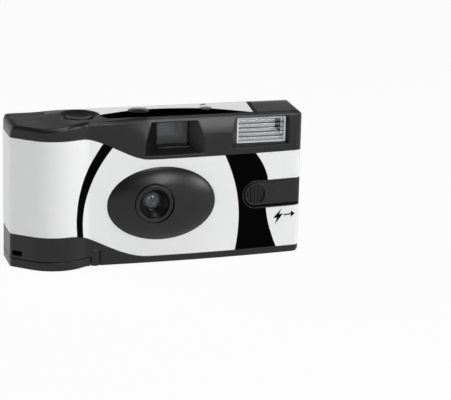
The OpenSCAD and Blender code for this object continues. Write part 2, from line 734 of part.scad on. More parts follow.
// Film, cassette and spools. The battery lies between the two chambers
chamber_r = cass_r + 0.4;
cell_x0 = axis_x + chamber_r + 2;
cell_x1 = cell_x0 + cell_l;
spool_r = 5.4;
spool_up = 2.6;
supply_r = 4.6;
flange_r = roll_r + 0.8;
rim_t = 0.5;
shell_r = flange_r + 0.5;
supply_x = max(gate_x1 + shell_r + 0.8, cell_x1 + 1.9 + flange_r);
supply_y = film_y - roll_r - 0.3;
film_z0 = film_z - film_h / 2;
film_z1 = film_z + film_h / 2;
perf_pitch = 4.75;
lip_x = axis_x + cass_r + 2.2;
module cassette_shell() {
    color("#30343a") placed() {
        difference() {
            pin_z(axis_x, axis_y, cass_z + 0.8, cass_top - 0.8, cass_r - 0.15);
            pin_z(axis_x, axis_y, cass_z, cass_top, cass_r - 0.6);
            bar(axis_x, axis_x + far, film_y - 0.35, film_y + film_t + 0.35, cass_z, cass_top);
        }
        for (y = [film_y - 0.8, film_y + film_t + 0.3])
            bar(axis_x + bow(cass_r - 0.5, y + 0.25 - axis_y), lip_x, y, y + 0.5, cass_z + 1.2, cass_top - 1.2);
    }
}
module cassette_cap(z0, z1) {
    color("#8d9196") placed() difference() {
        pin_z(axis_x, axis_y, z0, z1, cass_r);
        pin_z(axis_x, axis_y, z0 - 1, z1 + 1, spool_r + run_gap);
    }
}
module cassette_spool() {
    color("#1c1d1f") placed() difference() {
        union() {
            pin_z(axis_x, axis_y, cass_z + 0.1, cass_top + spool_up, spool_r);
            for (z = [cass_z + 1.2, cass_top - 2.2]) pin_z(axis_x, axis_y, z, z + 1, cass_r - 1);
        }
        pin_z(axis_x, axis_y, cass_top - 4, far, hub_r - 0.2);
        translate([axis_x, axis_y, 0])
            bar(-key_w / 2 - 0.25, key_w / 2 + 0.25, -hub_r - 0.4, hub_r + 0.4, cass_top - 3, far);
    }
}
module film_strip() {
    perf_n = floor((supply_x - lip_x) / perf_pitch) - 1;
    color("#4a3f45") placed() difference() {
        bar(lip_x + 0.1, supply_x, film_y, film_y + film_t, film_z0, film_z1);
        for (k = [1:perf_n]) for (z = [film_z0 + 2, film_z1 - 4.8])
            bar(lip_x + perf_pitch * k, lip_x + perf_pitch * k + 2, film_y - 1, film_y + 1, z, z + 2.8);
    }
}
spool_pin_r = 1.5;
supply_z0 = film_z0 - rim_t - 0.1;
supply_z1 = film_z1 + rim_t + 0.1;
module supply_spool() {
    color("#232427") placed() {
        pin_z(supply_x, supply_y, supply_z0 - 1.6, supply_z1 + 1.6, spool_pin_r);
        pin_z(supply_x, supply_y, supply_z0, supply_z1, supply_r);
        for (z = [supply_z0, supply_z1 - rim_t]) pin_z(supply_x, supply_y, z, z + rim_t, flange_r);
    }
}
module film_roll() {
    color("#54484e") placed() difference() {
        pin_z(supply_x, supply_y, film_z0, film_z1, roll_r);
        pin_z(supply_x, supply_y, film_z0 - 1, film_z1 + 1, supply_r + 0.05);
    }
}
teeth = 8;
tooth_r = 1.4;
sprocket_r = teeth * perf_pitch / 360 * 180 / PI;
sprocket_x = gate_x0 + 3.2;
sprocket_y = film_y - sprocket_r - tooth_r - run_gap;
sprocket_z = film_z1 - 3.4;
deck_z = cass_top - 3.4;
deck_t = 1.2;
shaft_r = 1.2;
cam_r = 2.4;
module sprocket() {
    color("#e6e2d6") placed() translate([sprocket_x, sprocket_y, 0]) {
        translate([0, 0, sprocket_z - 0.8]) cylinder(r = sprocket_r, h = 1.6);
        for (k = [0:teeth - 1]) rotate([0, 0, 360 / teeth * k])
            translate([sprocket_r - 0.5, -0.8, sprocket_z - 0.6]) cube([0.5 + tooth_r, 1.6, 1.2]);
        translate([0, 0, sprocket_z - 1.6]) cylinder(r = shaft_r, h = deck_z + deck_t + 1.7 - sprocket_z + 1.6);
        translate([0, 0, deck_z + deck_t + 0.3]) difference() {
            cylinder(r = cam_r, h = 1.4);
            translate([cam_r - 1, -0.8, -1]) cube([2, 1.6, 4]);
        }
    }
}
dial_x = counter_x - 6.6;
dial_y = counter_y - 2.4;
dial_r = 9.8;
dial_z = top_in - 2.2;
post_r = 1.1;
module counter_dial() {
    color("#e9e9e6") placed() difference() {
        union() {
            pin_z(dial_x, dial_y, dial_z, dial_z + 1, dial_r);
            pin_z(dial_x, dial_y, dial_z - 1.6, dial_z, 2.6);
        }
        pin_z(dial_x, dial_y, dial_z - 3, dial_z + 3, post_r + shaft_play);
        for (k = [0:29]) translate([dial_x, dial_y, 0]) rotate([0, 0, 12 * k])
            bar(dial_r - 0.5, dial_r + 1, -0.35, 0.35, dial_z - 1, dial_z + 2);
    }
}

// Windows
module counter_window() {
    color("#cfd6da") placed() translate([counter_x, counter_y, 0]) rotate_extrude() polygon(concat(
        [[0, body_h - 0.8], [counter_r, body_h - 0.8], [counter_r, body_h - 0.1]],
        [for (k = [4:-1:0]) let (r = counter_r * k / 4.4) [r, body_h + 0.5 - 0.6 * pow(k / 4.4, 2)]]
    ));
}
module lamp_window() {
    color("#e0913f") placed() translate([lamp_x, lamp_y, 0]) rotate_extrude() polygon(concat(
        [[0, top_in - 1.2], [lamp_r, top_in - 1.2], [lamp_r, body_h]],
        [for (k = [3:-1:0]) let (r = lamp_r * k / 3.4) [r, body_h + 0.35 - 0.35 * pow(k / 3.4, 2)]]
    ));
}
module finder_front_lens() {
    f = finder_in;
    color("#aebccb") placed() difference() {
        bar(f[0] - 0.9, f[1] + 0.9, finder_y + 1.05, finder_y + 2.6, f[2] - 0.9, f[3] + 0.5);
        translate([finder_x, finder_y + 2 + 24, finder_z]) sphere(r = 24.6, $fn = 160);
    }
}
module finder_eyepiece() {
    color("#aebccb") placed() intersection() {
        bar(finder_x - eye_w / 2 - 0.9, finder_x + eye_w / 2 + 0.9, eye_y - 2.2, eye_y,
            eye_z - eye_h / 2 - 0.9, eye_z + eye_h / 2 + 0.4);
        translate([finder_x, eye_y - 2.2 + 22, eye_z]) sphere(r = 22.1, $fn = 160);
    }
}
module flash_window() {
    f = flash_in;
    color("#d9dee2") placed() {
        bar(f[0] - 0.8, f[1] + 0.8, flash_y + 1.05, flash_y + 1.9, f[2] - 0.8, f[3] + 0.5);
        bar(f[0] + fit_gap, f[1] - fit_gap, flash_y + 0.5, flash_y + 1.1, f[2] + fit_gap, f[3] - fit_gap);
        for (k = [0:4]) translate([0, 0, f[2] + flash_h * (k + 0.5) / 5])
            bar(f[0] + 0.6, f[1] - 0.6, flash_y + 0.15, flash_y + 0.55, -0.35, 0.35);
    }
}

// Flash and its circuit
reflector_d = 7;
tube_r = 1.5;
tube_y = flash_y + 6;
module flash_reflector() {
    f = flash_in;
    color("#d5d8da") placed() difference() {
        taper([f[0] - 0.6, f[1] + 0.6, f[2] - 0.6, f[3] + 0.4], flash_y + 2, 
            [f[0] + 0.4, f[1] - 0.4, flash_z - 2.8, flash_z + 2.8], flash_y + 2 + reflector_d);
        taper([f[0] - 0.1, f[1] + 0.1, f[2] - 0.1, f[3] - 0.1], flash_y + 1.9,
            [f[0] + 1, f[1] - 1, flash_z - 2.2, flash_z + 2.2], flash_y + 1.4 + reflector_d);
        pin_x(-far, far, tube_y, flash_z, tube_r + fit_gap);
    }
}
module flash_tube() {
    color("#e8eef2") placed() {
        pin_x(flash_in[0] - 2, flash_in[1] + 2, tube_y, flash_z, tube_r);
        pin_x(flash_in[0] - 4, flash_in[1] + 4, tube_y, flash_z, 0.4);
    }
}
board_x0 = supply_x + shell_r + 2.3;
board_x1 = half_w - wall - 0.9;
board_y = sweep(half_w) + floor_d + channel_wall + 2.2;
board_t = 1.2;
board_z0 = 3;
board_z1 = flash_in[2] - 2;
module circuit_board() {
    color("#8a6f3a") placed() difference() {
        bar(board_x0, board_x1, board_y, board_y + board_t, board_z0, board_z1);
        for (z = [board_z0 + 3, board_z1 - 3]) pin_y(board_x0 + 2, board_y - 1, board_y + 3, z, 1);
    }
}
cap_x = board_x1 - cap_r - 1;
cap_y = board_y + board_t + fit_gap + cap_r;
module flash_capacitor() {
    color("#23262c") placed() {
        pin_z(cap_x, cap_y, board_z0 + 2, board_z0 + 2 + cap_h, cap_r);
        pin_z(cap_x, cap_y, board_z0 + 2 + cap_h, board_z0 + 3 + cap_h, cap_r - 0.8);
    }
}
coil_z = board_z0 + cap_h + 4;
module transformer() {
    x0 = board_x0 + 0.4;
    y0 = board_y + board_t + fit_gap;
    color("#c9a227") placed() {
        bar(x0, x0 + 8, y0, y0 + 7, coil_z, coil_z + 1.6);
        bar(x0, x0 + 8, y0, y0 + 7, coil_z + 5.4, coil_z + 7);
        pin_z(x0 + 4, y0 + 3.5, coil_z + 1.6, coil_z + 5.4, 3.2);
    }
}
module trigger_coil() {
    color("#7d8a45") placed()
        pin_z(board_x1 - 3, board_y + board_t + fit_gap + 2.4, coil_z, coil_z + 7, 2.4);
}
module ready_neon() {
    color("#f0c8a0") placed() {
        pin_z(lamp_x, lamp_y, top_in - 7.4, top_in - 1.5, lamp_r - 0.2);
        for (s = [-1, 1]) pin_z(lamp_x + 0.7 * s, lamp_y, deck_z + deck_t + 0.1, top_in - 7.4, 0.3);
    }
}
module switch_contact() {
    color("#c8a24a") placed() {
        bar(stem_x - 1.6, stem_x + stem_w + slide_travel + 1.2, board_y - 0.5, board_y - 0.1,
            channel_z - 1.5, channel_z + 1.5);
    }
}
cell_y = base_y + cell_r + 0.2;
cell_z = wall + fit_gap + cell_r + 0.3;
module battery() {
    color("#3f6b52") placed() {
        pin_x(cell_x0, cell_x1, cell_y, cell_z, cell_r);
        pin_x(cell_x1, cell_x1 + 0.9, cell_y, cell_z, 1.9);
    }
}
module battery_contact(x0, x1) {
    color("#c8cacc") placed() {
        bar(x0, x1, cell_y - 3.5, cell_y + 3.5, wall + 0.9, cell_z + 3.6);
    }
}
module sync_contact() {
    color("#c8a24a") placed() {
        bar(lens_x - 10, lens_x - 9.6, base_y + base_t, base_y + base_t + 2, lens_z - 2, lens_z + 9);
    }
}

// Chassis: film gate, light tunnel, cassette and supply chambers, deck
gate_back = film_y - 1;
gate_t = 1.5;
tunnel_a = [lens_x - 5, lens_x + 5, lens_z - 4, lens_z + 4];
tunnel_b = [gate_x0, gate_x1, film_z - gate_h / 2, film_z + gate_h / 2];
function grown(f, s) = [f[0] - s, f[1] + s, f[2] - s, f[3] + s];
module trough(x, y, r, t, z0, z1) {
    difference() {
        pin_z(x, y, z0, z1, r + t);
        pin_z(x, y, z0 - 1, z1 + 1, r);
        bar(x - far, x + far, y + 2, y + far, z0 - 1, z1 + 1);
    }
}
module chassis() {
    roof_z = supply_z1 + 0.3;
    roof_t = 0.6;
    color("#2e2f33") placed() difference() {
        union() {
            bar(gate_x0 - 3, gate_x1 + 3, gate_back - gate_t, gate_back, film_z0 - 2, deck_z + deck_t);
            for (s = [-1, 1]) bar(gate_x0 - 2, gate_x1 + 2, gate_back - 0.5, film_y - 0.1,
                film_z + s * (gate_h / 2 + 1.2) - 0.6, film_z + s * (gate_h / 2 + 1.2) + 0.6);
            taper(grown(tunnel_a, 1.2), tunnel_y, grown(tunnel_b, 1.2), gate_back);
            trough(axis_x, axis_y, chamber_r, 1.1, door_h + 0.8, cass_top);
            bar(axis_x + chamber_r + 0.3, gate_x0 - 2, axis_y - 2, axis_y + 2, door_h + 0.8, sprocket_z - 2.6);
            bar(gate_x0 - 3, gate_x0 - 1.8, axis_y - 2, gate_back, film_z0 - 2, sprocket_z - 2.6);
            trough(supply_x, supply_y, shell_r, 1, supply_z0 - 1.4, roof_z + roof_t);
            for (z = [supply_z0 - 0.9, roof_z]) pin_z(supply_x, supply_y, z, z + roof_t, shell_r + 0.6);
            bar(gate_x1 + 1, supply_x, supply_y, gate_back, roof_z, deck_z + 0.1);
            bar(gate_x0 - 3, gate_x1 + 3, finder_y + 4, gate_back, deck_z, deck_z + deck_t);
            bar(min(gate_x0 - 3, lever_x - 2.5), lens_x - 9, lever_y - 3.4, finder_y + 5,
                deck_z, deck_z + deck_t);
            bar(gate_x1 + 2, lamp_x + 4, lamp_y - 3, gate_back, deck_z, deck_z + deck_t);
            pin_z(dial_x, dial_y, deck_z, dial_z + 1.2, post_r);
            pin_z(dial_x, dial_y, deck_z, dial_z - 1.9, 2.2);
            for (s = [-1, 1]) bar(lever_x - 2, lever_x + 2, lever_y + s * 2.6 - 0.8, lever_y + s * 2.6 + 0.8,
                deck_z, lever_z + 2);
            for (z = [board_z0 + 8, board_z1 - 11]) {
                bar(supply_x + shell_r - 0.3, board_x0 + 4, board_y - 1.6, board_y - 0.05, z, z + 3);
                bar(supply_x + shell_r, supply_x + shell_r + 1.3, board_y - 1.6, supply_y, z, z + 3);
            }
            bar(cell_x0, cell_x1, cell_y + cell_r + 0.1, cell_y + cell_r + 1.3,
                wall + fit_gap, tunnel_b[2] + 4);
        }
        taper(tunnel_a, tunnel_y - 0.1, tunnel_b, gate_back + 0.1);
        bar(tunnel_b[0], tunnel_b[1], gate_back - 0.1, far, tunnel_b[2], tunnel_b[3]);
        pin_z(supply_x, supply_y, 0, far, spool_pin_r + shaft_play);
        bar(supply_x - shell_r - 2, supply_x + shell_r - 0.4, -far, supply_y - 6.4, 0, deck_z);
        pin_x(cell_x0 - 0.9, cell_x1 + 1.7, cell_y, cell_z, cell_r + fit_gap);
        bar(cell_x0 - 0.9, cell_x1 + 1.7, cell_y - 3.7, cell_y + 3.7, 0, cell_z + 3.8);
        pin_z(sprocket_x, sprocket_y, 0, far, shaft_r + shaft_play);
        pin_z(sprocket_x, sprocket_y, sprocket_z - 0.8 - run_gap, sprocket_z + 0.8 + run_gap,
            sprocket_r + tooth_r + run_gap);
        pin_y(lever_x, lever_y - 5, lever_y + 5, lever_z, lever_pin_r + 0.02);
        pin_z(axis_x, axis_y, 0, far, chamber_r);
    }
}

module cassette_top_cap() {
    cassette_cap(cass_top - 0.8, cass_top);
}
module cassette_bottom_cap() {
    cassette_cap(cass_z, cass_z + 0.8);
}
module battery_minus_contact() {
    battery_contact(cell_x0 - 0.6, cell_x0 - 0.1);
}
module battery_plus_contact() {
    battery_contact(cell_x1 + 1, cell_x1 + 1.5);
}

front_cover();
rear_cover();
chassis();
front_label();
top_label();
film_door();
door_pin();
shutter_button();
release_lever();
lever_pin();
advance_wheel();
flash_slider();
lens_ring();
taking_lens();
aperture_plate();
shutter_base();
shutter_blade();
blade_spring();
cassette_shell();
cassette_top_cap();
cassette_bottom_cap();
cassette_spool();
film_strip();
supply_spool();
film_roll();
sprocket();
counter_dial();
counter_window();
lamp_window();
finder_front_lens();
finder_eyepiece();
flash_window();
flash_reflector();
flash_tube();
circuit_board();
flash_capacitor();
transformer();
trigger_coil();
ready_neon();
switch_contact();
battery();
battery_minus_contact();
battery_plus_contact();
sync_contact();
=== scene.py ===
import json
import math

import bpy
from mathutils import Matrix, Vector


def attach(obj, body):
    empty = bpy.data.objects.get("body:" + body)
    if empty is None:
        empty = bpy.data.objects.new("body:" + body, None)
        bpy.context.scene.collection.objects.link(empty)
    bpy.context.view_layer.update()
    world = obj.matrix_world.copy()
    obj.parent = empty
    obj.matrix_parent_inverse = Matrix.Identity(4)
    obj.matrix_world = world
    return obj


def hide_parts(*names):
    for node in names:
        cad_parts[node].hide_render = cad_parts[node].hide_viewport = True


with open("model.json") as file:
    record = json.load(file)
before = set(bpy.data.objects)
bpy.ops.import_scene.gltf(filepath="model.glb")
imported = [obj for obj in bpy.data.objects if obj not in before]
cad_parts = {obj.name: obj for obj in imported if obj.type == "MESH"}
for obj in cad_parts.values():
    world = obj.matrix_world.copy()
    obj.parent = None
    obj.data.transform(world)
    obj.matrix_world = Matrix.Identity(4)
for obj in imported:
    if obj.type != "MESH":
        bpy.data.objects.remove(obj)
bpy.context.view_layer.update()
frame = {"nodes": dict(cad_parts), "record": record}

mm = 0.001
shiftY = 11.25 * mm  # depths count from the flat of the front, which lies this far in front of the origin
print("frame loaded:", len(frame["nodes"]), "nodes")


def hexColour(code):
    parts = [int(code[i:i + 2], 16) / 255 for i in (1, 3, 5)]
    return tuple(p / 12.92 if p <= 0.04045 else ((p + 0.055) / 1.055) ** 2.4 for p in parts) + (1.0,)


def addNode(tree, kind, values=None, links=None, **settings):
    node = tree.nodes.new(kind)
    for name, value in settings.items():
        setattr(node, name, value)
    for name, value in (values or {}).items():
        node.inputs[name].default_value = value
    for name, socket in (links or {}).items():
        tree.links.new(socket, node.inputs[name])
    return node


def combine(tree, operation, first, second):
    return addNode(tree, "ShaderNodeMath", None, {0: first, 1: second}, operation=operation).outputs["Value"]


# 0 to 1 as the value runs from low to high
def shareOf(tree, value, low, high):
    return addNode(tree, "ShaderNodeMapRange", {"From Min": low, "From Max": high},
                   {"Value": value}).outputs["Result"]


# 1 for what the camera, glossy and clear surfaces see, 0 for what only lights
def seenRays(tree):
    rays = addNode(tree, "ShaderNodeLightPath").outputs
    seen = combine(tree, "MAXIMUM", rays["Is Camera Ray"], rays["Is Glossy Ray"])
    return combine(tree, "MAXIMUM", seen, rays["Is Transmission Ray"])


def scaleFor(sizeMm):
    return 1 / (sizeMm * mm)


def seeThrough(weight, index):
    return {"Transmission Weight": weight, "IOR": index}


def startFinish(name):
    finish = bpy.data.materials.new(name)
    finish.use_nodes = True
    tree = finish.node_tree
    return finish, tree, tree.nodes["Principled BSDF"], addNode(tree, "ShaderNodeTexCoord").outputs["Object"]


grainRule = {"detail": 3.0, "cloudTimes": 25, "cloudDetail": 2.0, "bump": 0.5, "edgeSamples": 6}


# Grain in the colour, the gloss and the surface, as a mould, a coating or a rolled sheet leaves it
def grainFinish(name, dark, light, rough, grainMm, depthMm, stretch=(1, 1, 1), values=None, easeMm=0.0):
    finish, tree, shader, place = startFinish(name)
    turn = addNode(tree, "ShaderNodeMapping", {"Scale": stretch}, {"Vector": place})
    grain = addNode(tree, "ShaderNodeTexNoise", {"Scale": scaleFor(grainMm), "Detail": grainRule["detail"]},
                    {"Vector": turn.outputs["Vector"]})
    cloud = addNode(tree, "ShaderNodeTexNoise", {"Scale": scaleFor(grainMm * grainRule["cloudTimes"]),
                                                 "Detail": grainRule["cloudDetail"]}, {"Vector": place})
    tone = addNode(tree, "ShaderNodeMixRGB", {"Color1": hexColour(dark), "Color2": hexColour(light)},
                   {"Fac": cloud.outputs["Fac"]})
    gloss = addNode(tree, "ShaderNodeMapRange", {"To Min": rough[0], "To Max": rough[1]},
                    {"Value": grain.outputs["Fac"]})
    bump = addNode(tree, "ShaderNodeBump", {"Strength": grainRule["bump"], "Distance": depthMm * mm},
                   {"Height": grain.outputs["Fac"]})
    if easeMm:  # the mould's hair-fine edge radius, too small to model on every edge
        edge = addNode(tree, "ShaderNodeBevel", {"Radius": easeMm * mm}, samples=grainRule["edgeSamples"])
        tree.links.new(edge.outputs["Normal"], bump.inputs["Normal"])
    tree.links.new(tone.outputs["Color"], shader.inputs["Base Color"])
    tree.links.new(gloss.outputs["Result"], shader.inputs["Roughness"])
    tree.links.new(bump.outputs["Normal"], shader.inputs["Normal"])
    for socket, value in (values or {}).items():
        shader.inputs[socket].default_value = value
    return finish


# Sizes are the real grain in mm, drawn coarser where it is too fine to show
finishes = {
    # spark-eroded mould: soft satin highlights, a fine even grain
    "black_shell": grainFinish("ABS moulded black satin", "#09090b", "#0f0f11", (0.29, 0.38), 0.35, 0.014,
                               values={"Specular IOR Level": 0.38}, easeMm=0.8),
    # plain black styrene of the inside, duller than the shell
    "inner_black": grainFinish("Polystyrene moulded black", "#161718", "#1d1e20", (0.45, 0.6), 0.5, 0.01),
    # glossy milky gear plastic
    "white_plastic": grainFinish("Acetal moulded white", "#dcdad2", "#e8e6df", (0.3, 0.42), 0.5, 0.006),
    # counter dial: dull black
    "dial_black": grainFinish("Acetal moulded black", "#17181a", "#202123", (0.4, 0.5), 0.5, 0.006),
    # bright rolled spring steel, streaks along its length
    "steel": grainFinish("Spring steel rolled", "#b4b7bb", "#c9ccd0", (0.22, 0.36), 0.2, 0.003,
                         (1, 1, 0.1), {"Metallic": 1.0}),
    # blackened sheet: dark, dull, slightly mottled
    "blackened_steel": grainFinish("Steel sheet blackened", "#2e3033", "#3d3f43", (0.4, 0.55), 0.25, 0.003,
                                   values={"Metallic": 0.8}),
    # film cassette: lacquered tinplate, dark and smooth
    "cassette_steel": grainFinish("Tinplate lacquered", "#33363b", "#45494f", (0.25, 0.35), 0.3, 0.003,
                                  (1, 1, 0.2), {"Metallic": 0.7}),
    # brown film base with its dull emulsion
    "film_base": grainFinish("Acetate film coated", "#433940", "#54474f", (0.25, 0.4), 0.6, 0.002),
    # vacuum-metallised reflector, bright with faint ripples
    "foil": grainFinish("Aluminium vacuum coated", "#dcdfe2", "#eef0f2", (0.26, 0.36), 1.2, 0.004,
                        values={"Metallic": 1.0}),
    # phenolic paper board, warm and fibrous
    "board": grainFinish("Phenolic paper pressed", "#7d6233", "#94763f", (0.5, 0.65), 0.4, 0.006,
                         (0.3, 1, 1)),
    # shrunk vinyl sleeve, smooth with soft wrinkles
    "sleeve": grainFinish("Vinyl sleeve shrunk", "#1d2026", "#282c33", (0.25, 0.35), 2.0, 0.02),
    # printed vinyl wrap of the cell, green and smooth
    "cell_wrap": grainFinish("Vinyl wrap printed", "#37614a", "#447056", (0.25, 0.35), 1.5, 0.01),
    # enamelled copper turns, drawn at the wire's own pitch
    "winding": grainFinish("Copper wire enamelled wound", "#8f4f22", "#b9742f", (0.25, 0.4), 0.3, 0.03,
                           (0.05, 0.05, 1), {"Metallic": 0.6}),
    # stamped brass, yellow with rolling streaks
    "brass": grainFinish("Brass strip stamped", "#b08c3c", "#c9a650", (0.25, 0.38), 0.25, 0.003,
                         (0.15, 1, 1), {"Metallic": 1.0}),
    # clear acrylic with hardly any haze
    "clear_plastic": grainFinish("Acrylic moulded clear", "#f2f5f6", "#fbfcfc", (0.02, 0.06), 3.0, 0.002,
                                 values=seeThrough(1.0, 1.49)),
    # taking lens: the same acrylic from a polished insert, clearer and sharply mirroring
    "lens_plastic": grainFinish("Acrylic lens polished", "#f4f6f7", "#fcfdfd", (0.0, 0.02), 4.0, 0.0005,
                                values=seeThrough(1.0, 1.49)),
    # lamp window: faintly warm, hazy from its rough underside
    "amber_plastic": grainFinish("Polystyrene moulded hazy", "#7c7770", "#908a82", (0.12, 0.2), 1.0, 0.003,
                                 values=seeThrough(0.6, 1.58)),
    # eyepiece: clear acrylic tinted dark as painted shade, for the dark tunnel behind it
    "eyepiece_painted_shade": grainFinish("Acrylic tinted painted shade", "#303234", "#3b3d40", (0.06, 0.12), 3.0, 0.002,
                                values=seeThrough(1.0, 1.49)),
    # finder window: clear acrylic with a faint moulding haze that softens what it mirrors
    "hazy_window": grainFinish("Acrylic moulded hazy", "#cfd3d6", "#dbdee1", (0.12, 0.18), 3.0, 0.002,
                               values=seeThrough(1.0, 1.49)),
    # counter window: dark tinted acrylic, glossy, so that it shows the lamps more than the dial
    "dark_window": grainFinish("Acrylic moulded dark", "#0b0b0c", "#121214", (0.06, 0.1), 3.0, 0.002,
                               values=seeThrough(0.4, 1.49)),
    # flash cover: clear styrene whose ribs scatter the light, so it looks milky
    "flash_cover": grainFinish("Polystyrene moulded ribbed", "#f2f3f4", "#fafbfb", (0.03, 0.08), 0.8, 0.004,
                               values=seeThrough(0.85, 1.5)),
    # its frosted rim, nearly white
    "flash_rim": grainFinish("Polystyrene moulded frosted", "#eceeef", "#f6f7f8", (0.3, 0.42), 0.8, 0.004,
                             values=seeThrough(0.15, 1.5)),
    # the feet of its ribs, grey with dust and with painted shade in the grooves
    "flash_groove": grainFinish("Polystyrene moulded dusty painted shade", "#575a5d", "#676a6d", (0.25, 0.35), 0.8, 0.004,
                                values=seeThrough(0.4, 1.5)),
    # the same cover painted dark where the dark end of the flash tube and the shaded gap behind it show through:
    # painted shade
    "flash_shade": grainFinish("Polystyrene painted tube end shade", "#28292c", "#343639", (0.12, 0.2), 0.8, 0.004,
                               values=seeThrough(0.3, 1.5)),
    # signs: dense black ink, hardly glossy
    "sign_ink": grainFinish("Ink printed black", "#020202", "#050505", (0.45, 0.6), 0.3, 0.002,
                            values={"Specular IOR Level": 0.04}),
}
print("plain finishes:", len(finishes))

# Print on the labels: white film with black sweeps, each edge as (height, x) points in mm
frontPrint = {
    "sweeps": [
        ([(0, -32.4), (8, -33.3), (14.6, -33.75), (18.7, -33.95), (22.7, -33.78), (26.7, -33.35),
          (30.5, -32.54), (34.3, -31.34), (37.9, -29.75), (41.7, -27.83), (45.6, -25.55), (49, -23.3),
          (60, -14.6)],
         [(0, -29.5), (8, -30.5), (13.9, -30.95), (18, -31.14), (22, -30.85), (25.9, -30.12),
          (29.7, -28.96), (33.7, -27.5), (37.6, -25.73), (41.5, -23.52), (45.4, -20.86), (49, -17.9),
          (60, -7.2)]),
        ([(0, 30.6), (4, 31.31), (8.1, 31.87), (12.3, 32.22), (16.4, 32.36), (20.6, 32.18),
          (24.7, 31.65), (28.9, 30.85), (33.1, 29.68), (37.3, 28.17), (41.5, 26.37), (45, 24.6),
          (60, 15.2)],
         [(0, 49.6), (4.7, 47.65), (9, 46.04), (13.3, 44.77), (17.6, 43.95), (21, 43.7), (25, 44.0),
          (28.6, 44.33), (32, 44.11), (34.2, 43.45), (36.3, 42.56), (38.4, 41.44), (40.6, 40.02),
          (45, 36.4), (60, 20)]),
    ],
    "rough": (0.3, 0.42), "shine": 0.02,
    "white": ("#e6e7e7", "#ececec"), "black": "#010101",
}
# On top the black crescent ends at (x, depth) and the white stops at (depth, x)
topPrint = {
    "crescent": [(-60, -3), (-30, 5), (-22.7, 10.4), (-15.8, 13.1), (-12.3, 14.3), (-7, 15.6), (0, 16.3),
                 (7, 16), (13.8, 15.2), (16.9, 14.6), (23, 13), (28.7, 10.1), (34.4, 6.8), (42, 2.2),
                 (60, -3)],
    "rightEnd": [(-60, 32.4), (5.2, 38.2), (20.8, 39.6), (60, 43.1)],
    # past the white the shell's black shows, painted dark grey for its sheen
    "bareSheen": "#343436", "rough": (0.55, 0.65), "shine": 0.0,
    "white": ("#e6e7e7", "#ececec"), "black": "#010101",
}
printFilm = {"cloudMm": 18, "grainMm": 0.6, "detail": 2.0, "bump": 0.3, "depthMm": 0.004}
spanMm = 60.0  # the curves run over this many millimetres either side
hairShare = 0.0004  # share of a curve's range over which an inked edge fades


def printedFinish(name, settings):
    finish, tree, shader, place = startFinish(name)
    axes = addNode(tree, "ShaderNodeSeparateXYZ", links={"Vector": place}).outputs
    xShare = shareOf(tree, axes["X"], -spanMm * mm, spanMm * mm)

    def edge(points, along, start):
        curve = addNode(tree, "ShaderNodeFloatCurve", links={"Value": along})
        line = curve.mapping.curves[0]
        spots = [((p - start) / (spanMm - start), (q + spanMm) / (2 * spanMm)) for p, q in points]
        while len(line.points) < len(spots):
            line.points.new(0.5, 0.5)
        for point, spot in zip(line.points, spots):
            point.location = spot
        curve.mapping.update()
        return curve.outputs["Value"]

    def past(value, limit):  # 1 where value lies beyond limit
        return shareOf(tree, combine(tree, "SUBTRACT", value, limit), -hairShare, hairShare)

    if "sweeps" in settings:
        zShare = shareOf(tree, axes["Z"], 0.0, spanMm * mm)
        marks = [combine(tree, "MULTIPLY", past(xShare, edge(left, zShare, 0)),
                         past(edge(right, zShare, 0), xShare)) for left, right in settings["sweeps"]]
        ink = combine(tree, "MAXIMUM", *marks)
    else:
        yShare = shareOf(tree, axes["Y"], -spanMm * mm - shiftY, spanMm * mm - shiftY)
        ink = past(edge(settings["crescent"], xShare, -spanMm), yShare)
    cloud = addNode(tree, "ShaderNodeTexNoise", {"Scale": scaleFor(printFilm["cloudMm"]),
                                                 "Detail": printFilm["detail"]}, {"Vector": place})
    paper = addNode(tree, "ShaderNodeValToRGB", links={"Fac": cloud.outputs["Fac"]})
    for stop, code in zip(paper.color_ramp.elements, settings["white"]):
        stop.color = hexColour(code)
    tone = addNode(tree, "ShaderNodeMixRGB", {"Color2": hexColour(settings["black"])},
                   {"Fac": ink, "Color1": paper.outputs["Color"]})
    if "rightEnd" in settings:  # clear film past the white, with the shell's black under it
        # the shell's black there is painted dark grey, a painted sheen
        bareSheen = past(xShare, edge(settings["rightEnd"], yShare, -spanMm))
        tone = addNode(tree, "ShaderNodeMixRGB", {"Color2": hexColour(settings["bareSheen"])},
                       {"Fac": bareSheen, "Color1": tone.outputs["Color"]})
    grain = addNode(tree, "ShaderNodeTexNoise", {"Scale": scaleFor(printFilm["grainMm"]),
                                                 "Detail": printFilm["detail"]}, {"Vector": place})
    gloss = addNode(tree, "ShaderNodeMapRange", {"To Min": settings["rough"][0], "To Max": settings["rough"][1]},
                    {"Value": grain.outputs["Fac"]})
    bump = addNode(tree, "ShaderNodeBump", {"Strength": printFilm["bump"], "Distance": printFilm["depthMm"] * mm},
                   {"Height": grain.outputs["Fac"]})
    tree.links.new(tone.outputs["Color"], shader.inputs["Base Color"])
    shader.inputs["Specular IOR Level"].default_value = settings["shine"]
    tree.links.new(gloss.outputs["Result"], shader.inputs["Roughness"])
    tree.links.new(bump.outputs["Normal"], shader.inputs["Normal"])
    return finish


# offset-printed film: even white with sharp black sweeps and a low gloss
finishes["printed_label"] = printedFinish("Polypropylene film printed front", frontPrint)
# the same film on top, duller, its white cut short at the right
finishes["printed_top"] = printedFinish("Polypropylene film printed top", topPrint)
print("printed finishes made")

finishOf = {"top_label": "printed_top", "flash_window": "flash_cover", "finder_eyepiece": "eyepiece_painted_shade",
            "finder_front_lens": "hazy_window", "counter_dial": "dial_black", "counter_window": "dark_window"}
slotOf = {part["node"]: part["material_slot"] for part in frame["record"]["subparts"]}
for nodeName, node in frame["nodes"].items():
    key = finishOf.get(nodeName, slotOf.get(nodeName, "black_shell"))
    node.data.materials.clear()
    node.data.materials.append(finishes[key])
print("finishes on nodes:", len(slotOf))


def smoothAt(degrees):
    bpy.ops.object.shade_smooth_by_angle(angle=math.radians(degrees))


